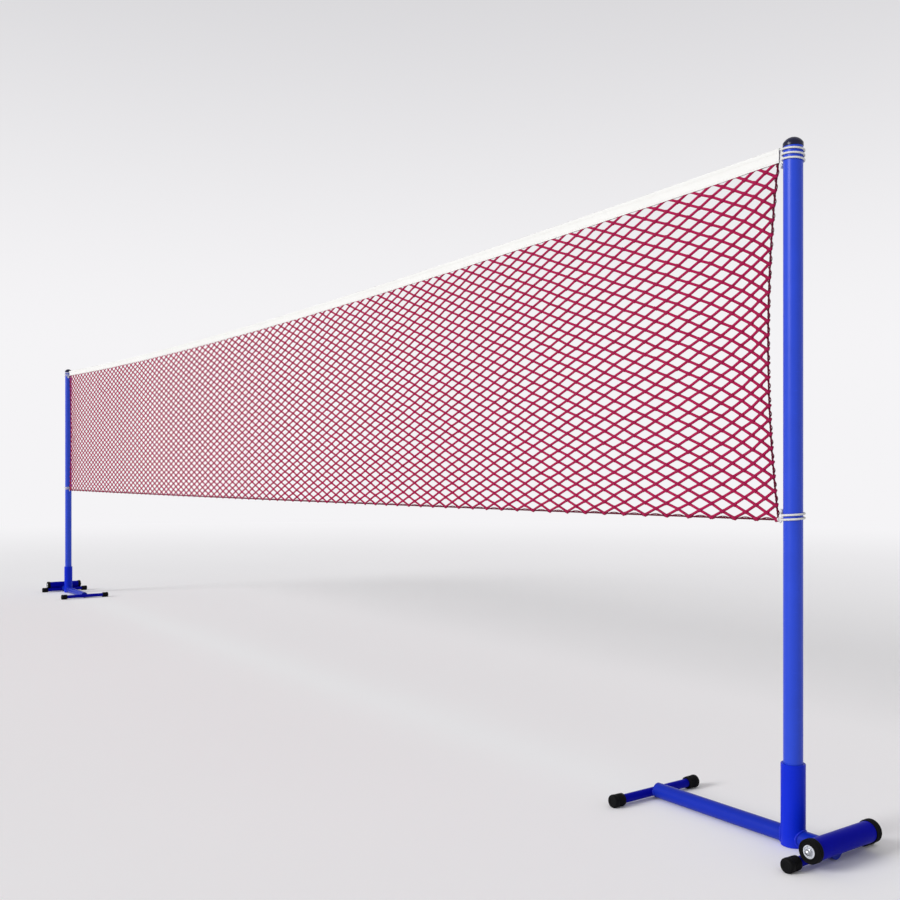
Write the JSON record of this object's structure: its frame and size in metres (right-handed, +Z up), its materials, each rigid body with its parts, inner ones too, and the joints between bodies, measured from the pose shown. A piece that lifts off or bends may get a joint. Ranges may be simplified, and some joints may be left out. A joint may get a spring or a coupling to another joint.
{
  "type": "volleyball net on poles",
  "caption": "Low sports net with a taped head, tied between two round poles that stand in wheeled T-shaped floor stands.",
  "frame": {"origin": "floor at mid-span, in the plane of the net", "axes": "+X along the net, +Y across it, +Z up; the stands' front wheels are on the -Y side"},
  "size_m": [6.396, 0.31, 1.6],
  "materials": {
    "blue_paint": "gloss powder coat",
    "navy_paint": "gloss powder coat",
    "black_rubber": "moulded, satin",
    "black_plastic": "moulded, satin",
    "grey_plastic": "moulded",
    "steel": "zinc plated",
    "crimson_cord": "knotted polyester cord",
    "white_cloth": "woven polyester tape",
    "white_cord": "braided polyester cord"
  },
  "bodies": {
    "stands": {"stem_left": "blue_paint", "stem_plates_left": "blue_paint", "inner_foot_left": "navy_paint", "outer_foot_left": "navy_paint", "foot_caps_left": "black_rubber", "sleeve_left": "blue_paint", "axle_housing_left": "navy_paint", "axle_bushes_left": "black_plastic", "axle_left": "steel", "axle_nuts_left": "steel", "stem_right": "blue_paint", "stem_plates_right": "blue_paint", "inner_foot_right": "navy_paint", "outer_foot_right": "navy_paint", "foot_caps_right": "black_rubber", "sleeve_right": "blue_paint", "axle_housing_right": "navy_paint", "axle_bushes_right": "black_plastic", "axle_right": "steel", "axle_nuts_right": "steel"},
    "net_and_right_pole": {"pole_right": "blue_paint", "pole_cap_right": "black_plastic", "pole_foot_right": "black_plastic", "net": "crimson_cord", "headband": "white_cloth", "head_cord": "white_cord", "bottom_cord": "crimson_cord", "side_cord_left": "crimson_cord", "side_cord_right": "crimson_cord", "bottom_tie_left": "white_cord", "bottom_tie_right": "white_cord"},
    "left_pole": {"pole_left": "blue_paint", "pole_cap_left": "black_plastic", "pole_foot_left": "black_plastic"},
    "front_wheel_left": {"front_tyre_left": "black_rubber", "front_hub_left": "grey_plastic"},
    "back_wheel_left": {"back_tyre_left": "black_rubber", "back_hub_left": "grey_plastic"},
    "front_wheel_right": {"front_tyre_right": "black_rubber", "front_hub_right": "grey_plastic"},
    "back_wheel_right": {"back_tyre_right": "black_rubber", "back_hub_right": "grey_plastic"}
  },
  "joints": [
    {"name": "right_pole_lift", "type": "slide", "parent": "stands", "child": "net_and_right_pole", "axis": [0, 0, 1], "range_m": [0, 0.14]},
    {"name": "left_pole_lift", "type": "slide", "parent": "stands", "child": "left_pole", "axis": [0, 0, 1], "range_m": [0, 0.14]},
    {"name": "front_wheel_left_spin", "type": "hinge", "parent": "stands", "child": "front_wheel_left", "pos_m": [-3.17202, -0.106, 0.04499], "axis": [0, 1, 0], "continuous": true},
    {"name": "back_wheel_left_spin", "type": "hinge", "parent": "stands", "child": "back_wheel_left", "pos_m": [-3.17202, 0.106, 0.04499], "axis": [0, 1, 0], "continuous": true},
    {"name": "front_wheel_right_spin", "type": "hinge", "parent": "stands", "child": "front_wheel_right", "pos_m": [3.17202, -0.106, 0.04499], "axis": [0, 1, 0], "continuous": true},
    {"name": "back_wheel_right_spin", "type": "hinge", "parent": "stands", "child": "back_wheel_right", "pos_m": [3.17202, 0.106, 0.04499], "axis": [0, 1, 0], "continuous": true}
  ],
  "couplings": [
    {"joint": "left_pole_lift", "follows": "right_pole_lift", "ratio": 1}
  ]
}
